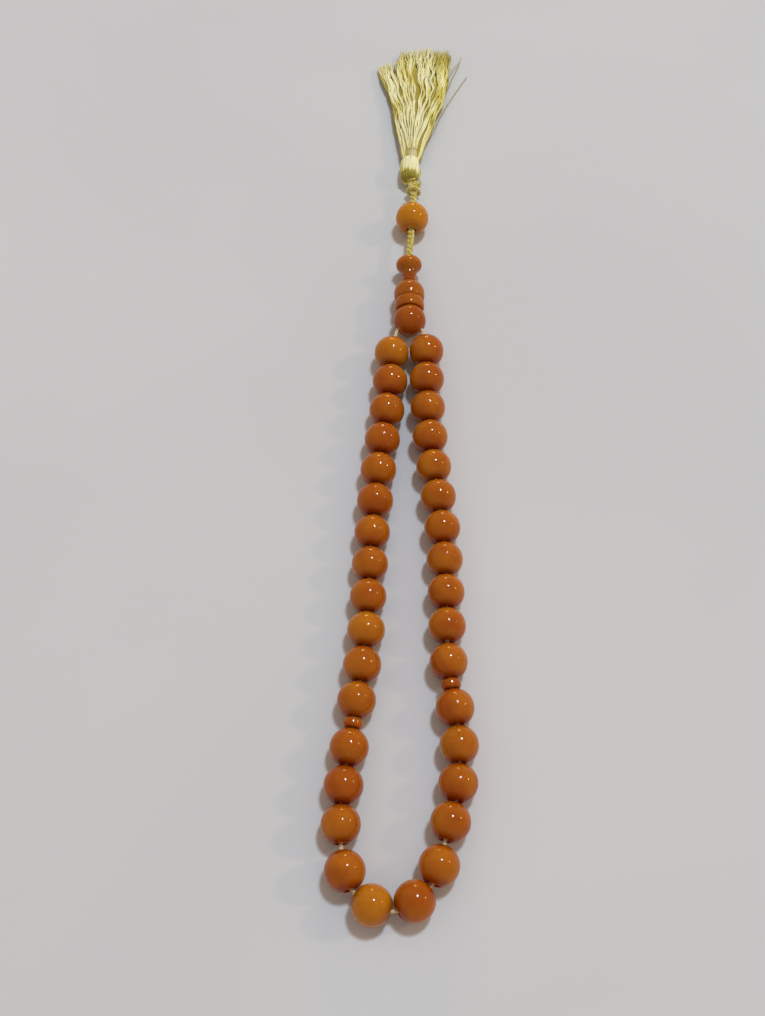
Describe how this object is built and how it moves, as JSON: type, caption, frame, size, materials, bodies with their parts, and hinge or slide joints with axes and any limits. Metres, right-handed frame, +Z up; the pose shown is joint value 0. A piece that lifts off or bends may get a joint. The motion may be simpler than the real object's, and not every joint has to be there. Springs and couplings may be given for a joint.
{
  "type": "misbaha prayer beads",
  "caption": "Loop of round amber-coloured prayer beads with divider discs, an imam bead with a turned head, a sliding counter bead on a gold cord, and a silk tassel, lying flat",
  "frame": {"origin": "middle of the footprint, on the surface that the beads lie on", "axes": "+Y along the object towards the tassel, +Z up out of the surface, +X to the right seen from above"},
  "size_m": [0.04, 0.2955, 0.0104],
  "materials": {
    "amber": "polished, cloudy amber resin",
    "dark_amber": "polished, darker amber resin",
    "cream_thread": "twisted silky thread",
    "gold_cord": "twisted cord with gold metallic yarn",
    "tassel_silk": "silky, slightly crinkled strands"
  },
  "bodies": {
    "string": {"thread_loop": "cream_thread", "imam_bead": "dark_amber", "head_knot": "cream_thread"},
    "cord": {"gold_cord": "gold_cord", "tassel_knot": "gold_cord"},
    "tassel": {"tassel_head": "tassel_silk", "tassel_binding": "tassel_silk", "tassel_fringe": "tassel_silk"},
    "tassel_loop": {"tassel_loop": "gold_cord"},
    "top_bead": {"top_bead": "amber"},
    "bead_15": {"bead_15": "amber"},
    "bead_16": {"bead_16": "amber"},
    "bead_19": {"bead_19": "amber"},
    "bead_20": {"bead_20": "amber"},
    "head_collar": {"head_collar": "dark_amber"},
    "head_bead": {"head_bead": "dark_amber"},
    "head_finial": {"head_finial": "dark_amber"},
    "divider_left": {"divider_left": "dark_amber"},
    "divider_right": {"divider_right": "dark_amber"},
    "bead_01": {"bead_01": "amber"},
    "bead_02": {"bead_02": "amber"},
    "bead_03": {"bead_03": "amber"},
    "bead_04": {"bead_04": "amber"},
    "bead_05": {"bead_05": "amber"},
    "bead_06": {"bead_06": "amber"},
    "bead_07": {"bead_07": "amber"},
    "bead_08": {"bead_08": "amber"},
    "bead_09": {"bead_09": "amber"},
    "bead_10": {"bead_10": "amber"},
    "bead_11": {"bead_11": "amber"},
    "bead_12": {"bead_12": "amber"},
    "bead_13": {"bead_13": "amber"},
    "bead_14": {"bead_14": "amber"},
    "bead_17": {"bead_17": "amber"},
    "bead_18": {"bead_18": "amber"},
    "bead_21": {"bead_21": "amber"},
    "bead_22": {"bead_22": "amber"},
    "bead_23": {"bead_23": "amber"},
    "bead_24": {"bead_24": "amber"},
    "bead_25": {"bead_25": "amber"},
    "bead_26": {"bead_26": "amber"},
    "bead_27": {"bead_27": "amber"},
    "bead_28": {"bead_28": "amber"},
    "bead_29": {"bead_29": "amber"},
    "bead_30": {"bead_30": "amber"},
    "bead_31": {"bead_31": "amber"},
    "bead_32": {"bead_32": "amber"},
    "bead_33": {"bead_33": "amber"},
    "bead_34": {"bead_34": "amber"}
  },
  "joints": [
    {"name": "cord_swing", "type": "hinge", "parent": "string", "child": "cord", "pos_m": [0.0035, 0.05175, 0.00505], "axis": [0, 0, 1], "range_deg": [-40, 40]},
    {"name": "tassel_twist", "type": "hinge", "parent": "cord", "child": "tassel_loop", "pos_m": [0.00543, 0.08155, 0.00445], "axis": [0.0371, 0.9953, -0.0891], "range_deg": [-180, 180]},
    {"name": "tassel_swing", "type": "hinge", "parent": "tassel_loop", "child": "tassel", "pos_m": [0.00543, 0.08155, 0.00445], "axis": [0, 0, 1], "range_deg": [-40, 40]},
    {"name": "top_bead_slide", "type": "slide", "parent": "cord", "child": "top_bead", "axis": [0.066, 0.9978, 0], "range_m": [-0.008, 0.0025]},
    {"name": "bead_15_slide", "type": "slide", "parent": "string", "child": "bead_15", "axis": [0.0073, -1, 0], "range_m": [0, 0.0009]},
    {"name": "bead_16_slide", "type": "slide", "parent": "string", "child": "bead_16", "axis": [0.2665, -0.9638, 0], "range_m": [-0.0009, 0]},
    {"name": "bead_19_slide", "type": "slide", "parent": "string", "child": "bead_19", "axis": [0.2832, 0.9591, 0], "range_m": [0, 0.0006]},
    {"name": "bead_20_slide", "type": "slide", "parent": "string", "child": "bead_20", "axis": [0.2978, 0.9546, 0], "range_m": [-0.0006, 0]},
    {"name": "head_collar_spin", "type": "hinge", "parent": "string", "child": "head_collar", "pos_m": [0.0035, 0.034, 0.0051], "axis": [0, 1, 0], "continuous": true},
    {"name": "head_bead_spin", "type": "hinge", "parent": "string", "child": "head_bead", "pos_m": [0.0035, 0.039, 0.0051], "axis": [0, 1, 0], "continuous": true},
    {"name": "head_finial_spin", "type": "hinge", "parent": "string", "child": "head_finial", "pos_m": [0.0035, 0.047, 0.0051], "axis": [0, 1, 0], "continuous": true},
    {"name": "divider_left_spin", "type": "hinge", "parent": "string", "child": "divider_left", "pos_m": [-0.01231, -0.09764, 0.0051], "axis": [-0.1422, -0.9898, 0], "continuous": true},
    {"name": "divider_right_spin", "type": "hinge", "parent": "string", "child": "divider_right", "pos_m": [0.01311, -0.08719, 0.0051], "axis": [-0.1142, 0.9935, 0], "continuous": true},
    {"name": "bead_01_spin", "type": "hinge", "parent": "string", "child": "bead_01", "pos_m": [-0.00197, 0.01647, 0.00517], "axis": [-0.0765, -0.9971, 0], "continuous": true},
    {"name": "bead_02_spin", "type": "hinge", "parent": "string", "child": "bead_02", "pos_m": [-0.00245, 0.00649, 0.00517], "axis": [-0.0645, -0.9979, 0], "continuous": true},
    {"name": "bead_03_spin", "type": "hinge", "parent": "string", "child": "bead_03", "pos_m": [-0.00343, -0.00354, 0.00514], "axis": [-0.1259, -0.992, 0], "continuous": true},
    {"name": "bead_04_spin", "type": "hinge", "parent": "string", "child": "bead_04", "pos_m": [-0.00474, -0.0134, 0.00514], "axis": [-0.126, -0.992, 0], "continuous": true},
    {"name": "bead_05_spin", "type": "hinge", "parent": "string", "child": "bead_05", "pos_m": [-0.00587, -0.02329, 0.00514], "axis": [-0.1013, -0.9949, 0], "continuous": true},
    {"name": "bead_06_spin", "type": "hinge", "parent": "string", "child": "bead_06", "pos_m": [-0.00677, -0.03319, 0.00514], "axis": [-0.0823, -0.9966, 0], "continuous": true},
    {"name": "bead_07_spin", "type": "hinge", "parent": "string", "child": "bead_07", "pos_m": [-0.00752, -0.04297, 0.005], "axis": [-0.0695, -0.9976, 0], "continuous": true},
    {"name": "bead_08_spin", "type": "hinge", "parent": "string", "child": "bead_08", "pos_m": [-0.00811, -0.0526, 0.005], "axis": [-0.0532, -0.9986, 0], "continuous": true},
    {"name": "bead_09_spin", "type": "hinge", "parent": "string", "child": "bead_09", "pos_m": [-0.00856, -0.06224, 0.005], "axis": [-0.0415, -0.9991, 0], "continuous": true},
    {"name": "bead_10_spin", "type": "hinge", "parent": "string", "child": "bead_10", "pos_m": [-0.00908, -0.07195, 0.00507], "axis": [-0.0737, -0.9973, 0], "continuous": true},
    {"name": "bead_11_spin", "type": "hinge", "parent": "string", "child": "bead_11", "pos_m": [-0.01004, -0.0817, 0.00507], "axis": [-0.1219, -0.9925, 0], "continuous": true},
    {"name": "bead_12_spin", "type": "hinge", "parent": "string", "child": "bead_12", "pos_m": [-0.01139, -0.0914, 0.00507], "axis": [-0.1466, -0.9892, 0], "continuous": true},
    {"name": "bead_13_spin", "type": "hinge", "parent": "string", "child": "bead_13", "pos_m": [-0.01318, -0.10387, 0.00507], "axis": [-0.1363, -0.9907, 0], "continuous": true},
    {"name": "bead_14_spin", "type": "hinge", "parent": "string", "child": "bead_14", "pos_m": [-0.01446, -0.11359, 0.00507], "axis": [-0.1123, -0.9937, 0], "continuous": true},
    {"name": "bead_17_spin", "type": "hinge", "parent": "string", "child": "bead_17", "pos_m": [-0.00729, -0.14264, 0.00514], "axis": [0.9025, -0.4306, 0], "continuous": true},
    {"name": "bead_18_spin", "type": "hinge", "parent": "string", "child": "bead_18", "pos_m": [0.00304, -0.14171, 0.00514], "axis": [0.8383, 0.5453, 0], "continuous": true},
    {"name": "bead_21_spin", "type": "hinge", "parent": "string", "child": "bead_21", "pos_m": [0.01427, -0.11305, 0.00507], "axis": [0.1203, 0.9927, 0], "continuous": true},
    {"name": "bead_22_spin", "type": "hinge", "parent": "string", "child": "bead_22", "pos_m": [0.01479, -0.10323, 0.00507], "axis": [-0.0104, 0.9999, 0], "continuous": true},
    {"name": "bead_23_spin", "type": "hinge", "parent": "string", "child": "bead_23", "pos_m": [0.01398, -0.09343, 0.00507], "axis": [-0.1358, 0.9907, 0], "continuous": true},
    {"name": "bead_24_spin", "type": "hinge", "parent": "string", "child": "bead_24", "pos_m": [0.01262, -0.08091, 0.00507], "axis": [-0.0532, 0.9986, 0], "continuous": true},
    {"name": "bead_25_spin", "type": "hinge", "parent": "string", "child": "bead_25", "pos_m": [0.01246, -0.07071, 0.00507], "axis": [0.0025, 1, 0], "continuous": true},
    {"name": "bead_26_spin", "type": "hinge", "parent": "string", "child": "bead_26", "pos_m": [0.01243, -0.06096, 0.00502], "axis": [-0.0092, 1, 0], "continuous": true},
    {"name": "bead_27_spin", "type": "hinge", "parent": "string", "child": "bead_27", "pos_m": [0.01227, -0.05127, 0.00502], "axis": [-0.0254, 0.9997, 0], "continuous": true},
    {"name": "bead_28_spin", "type": "hinge", "parent": "string", "child": "bead_28", "pos_m": [0.01183, -0.04158, 0.00502], "axis": [-0.0699, 0.9976, 0], "continuous": true},
    {"name": "bead_29_spin", "type": "hinge", "parent": "string", "child": "bead_29", "pos_m": [0.01091, -0.03182, 0.00502], "axis": [-0.1104, 0.9939, 0], "continuous": true},
    {"name": "bead_30_spin", "type": "hinge", "parent": "string", "child": "bead_30", "pos_m": [0.00983, -0.02218, 0.00502], "axis": [-0.1079, 0.9942, 0], "continuous": true},
    {"name": "bead_31_spin", "type": "hinge", "parent": "string", "child": "bead_31", "pos_m": [0.00895, -0.01245, 0.00509], "axis": [-0.0685, 0.9977, 0], "continuous": true},
    {"name": "bead_32_spin", "type": "hinge", "parent": "string", "child": "bead_32", "pos_m": [0.00847, -0.00261, 0.00509], "axis": [-0.0312, 0.9995, 0], "continuous": true},
    {"name": "bead_33_spin", "type": "hinge", "parent": "string", "child": "bead_33", "pos_m": [0.00833, 0.00729, 0.00514], "axis": [0.0044, 1, 0], "continuous": true},
    {"name": "bead_34_spin", "type": "hinge", "parent": "string", "child": "bead_34", "pos_m": [0.0084, 0.01723, 0.00514], "axis": [-0.0369, 0.9993, 0], "continuous": true}
  ]
}
